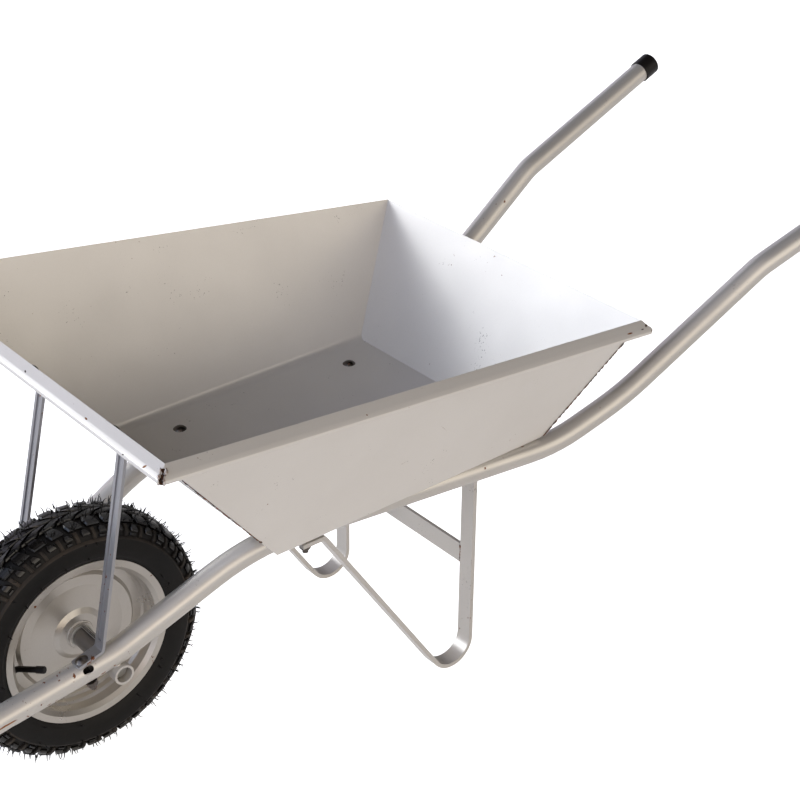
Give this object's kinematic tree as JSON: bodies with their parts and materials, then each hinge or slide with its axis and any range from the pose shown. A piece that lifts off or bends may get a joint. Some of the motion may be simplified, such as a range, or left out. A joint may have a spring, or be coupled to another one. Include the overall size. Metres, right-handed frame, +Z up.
{
  "type": "wheelbarrow",
  "caption": "builder's wheelbarrow with a folded sheet-steel tray, one-piece bent tube frame, strap legs and one pneumatic wheel",
  "frame": {"origin": "on the ground, under the middle of the barrow's length and width", "axes": "+X towards the wheel, +Y to the operator's left, +Z up"},
  "size_m": [1.4972, 0.641, 0.6898],
  "materials": {
    "frame_paint": "light silver-grey enamel with small rust flecks",
    "tray_paint": "light silver-grey enamel, chipped at the welded corners",
    "brace_paint": "light silver-grey enamel",
    "wheel_paint": "light silver-grey enamel",
    "dull_fastener": "dark, tarnished",
    "bare_steel": "bare steel",
    "black_plastic": "black",
    "bush_plastic": "natural nylon",
    "tyre_rubber": "new black tread rubber",
    "tube_rubber": "black butyl"
  },
  "bodies": {
    "frame": {"axle": "bare_steel", "axle_pins": "bare_steel", "axle_pipe_left": "frame_paint", "axle_pipe_right": "frame_paint", "brace_left": "brace_paint", "brace_right": "brace_paint", "floor_bolts_front": "dull_fastener", "floor_bolts_rear": "dull_fastener", "floor_nuts": "dull_fastener", "floor_washers": "dull_fastener", "foot_bolts": "dull_fastener", "foot_nuts": "dull_fastener", "foot_washers": "dull_fastener", "frame_tube": "frame_paint", "handle_cap_left": "black_plastic", "handle_cap_right": "black_plastic", "leg_crossbar": "frame_paint", "leg_left": "frame_paint", "leg_right": "frame_paint", "thrust_washers": "bare_steel", "tray": "tray_paint", "wall_bolts": "dull_fastener", "wall_nuts": "dull_fastener", "wall_washers": "dull_fastener"},
    "wheel": {"hub_bush_left": "bush_plastic", "hub_bush_right": "bush_plastic", "hub_tube": "wheel_paint", "inner_tube": "tube_rubber", "rim_half_left": "wheel_paint", "rim_half_right": "wheel_paint", "tyre": "tyre_rubber", "valve_cap": "black_plastic", "valve_stem": "tube_rubber"}
  },
  "joints": [
    {"name": "wheel_spin", "type": "hinge", "parent": "frame", "child": "wheel", "pos_m": [0.51657, 0, 0.172], "axis": [0, 1, 0], "continuous": true}
  ]
}
